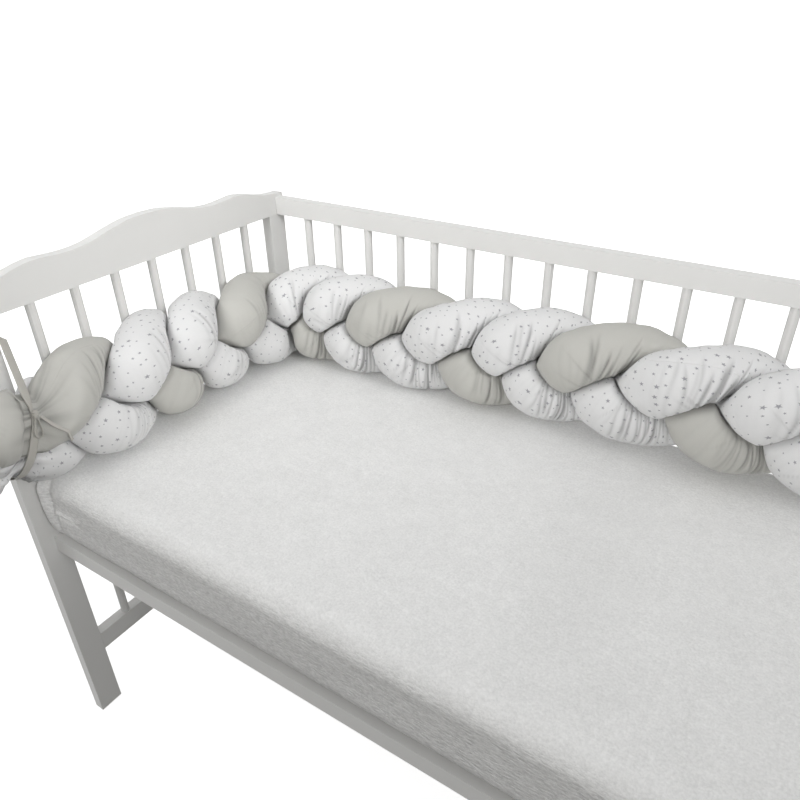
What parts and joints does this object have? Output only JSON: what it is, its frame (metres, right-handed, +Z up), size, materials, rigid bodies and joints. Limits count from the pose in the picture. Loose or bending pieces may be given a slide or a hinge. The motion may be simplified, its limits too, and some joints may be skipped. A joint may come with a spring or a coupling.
{
  "type": "crib bumper on a crib",
  "caption": "Plaited padded crib bumper of grey and star-print tubes, tied with tapes along the end and back side of a plain open-fronted crib with its sheeted mattress.",
  "frame": {"origin": "centre of the box round the whole object, at floor level", "axes": "+X to the right along the back side, +Y towards the back side, +Z up"},
  "size_m": [1.246, 0.7244, 0.8742],
  "materials": {
    "white_paint": "satin white paint",
    "grey_cotton": "plain woven cotton",
    "star_cotton": "white woven cotton with small grey stars",
    "terry_sheet": "fine terry",
    "tie_tape": "flat cotton tape"
  },
  "bodies": {
    "root": {"grey_strand": "grey_cotton", "star_strand_1": "star_cotton", "star_strand_2": "star_cotton", "left_tie_loop": "tie_tape", "left_tie_knot": "tie_tape", "left_tie_bow": "tie_tape", "left_tie_end": "tie_tape", "right_tie_loop": "tie_tape", "right_tie_knot": "tie_tape", "right_tie_bow": "tie_tape", "right_tie_end": "tie_tape", "mattress_with_sheet": "terry_sheet", "left_front_post": "white_paint", "left_back_post": "white_paint", "left_end_board": "white_paint", "left_stretcher": "white_paint", "left_end_spindle_1": "white_paint", "left_end_spindle_2": "white_paint", "left_end_spindle_3": "white_paint", "left_end_spindle_4": "white_paint", "left_end_spindle_5": "white_paint", "left_end_spindle_6": "white_paint", "left_end_spindle_7": "white_paint", "right_front_post": "white_paint", "right_back_post": "white_paint", "right_end_board": "white_paint", "right_stretcher": "white_paint", "right_end_spindle_1": "white_paint", "right_end_spindle_2": "white_paint", "right_end_spindle_3": "white_paint", "right_end_spindle_4": "white_paint", "right_end_spindle_5": "white_paint", "right_end_spindle_6": "white_paint", "right_end_spindle_7": "white_paint", "back_top_rail": "white_paint", "back_low_rail": "white_paint", "back_spindle_01": "white_paint", "back_spindle_02": "white_paint", "back_spindle_03": "white_paint", "back_spindle_04": "white_paint", "back_spindle_05": "white_paint", "back_spindle_06": "white_paint", "back_spindle_07": "white_paint", "back_spindle_08": "white_paint", "back_spindle_09": "white_paint", "back_spindle_10": "white_paint", "back_spindle_11": "white_paint", "back_spindle_12": "white_paint", "back_spindle_13": "white_paint", "back_spindle_14": "white_paint", "back_spindle_15": "white_paint", "back_spindle_16": "white_paint", "base_front_rail": "white_paint", "base_back_rail": "white_paint", "base_slat_1": "white_paint", "base_slat_2": "white_paint", "base_slat_3": "white_paint", "base_slat_4": "white_paint", "base_slat_5": "white_paint", "base_slat_6": "white_paint"}
  },
  "joints": []
}
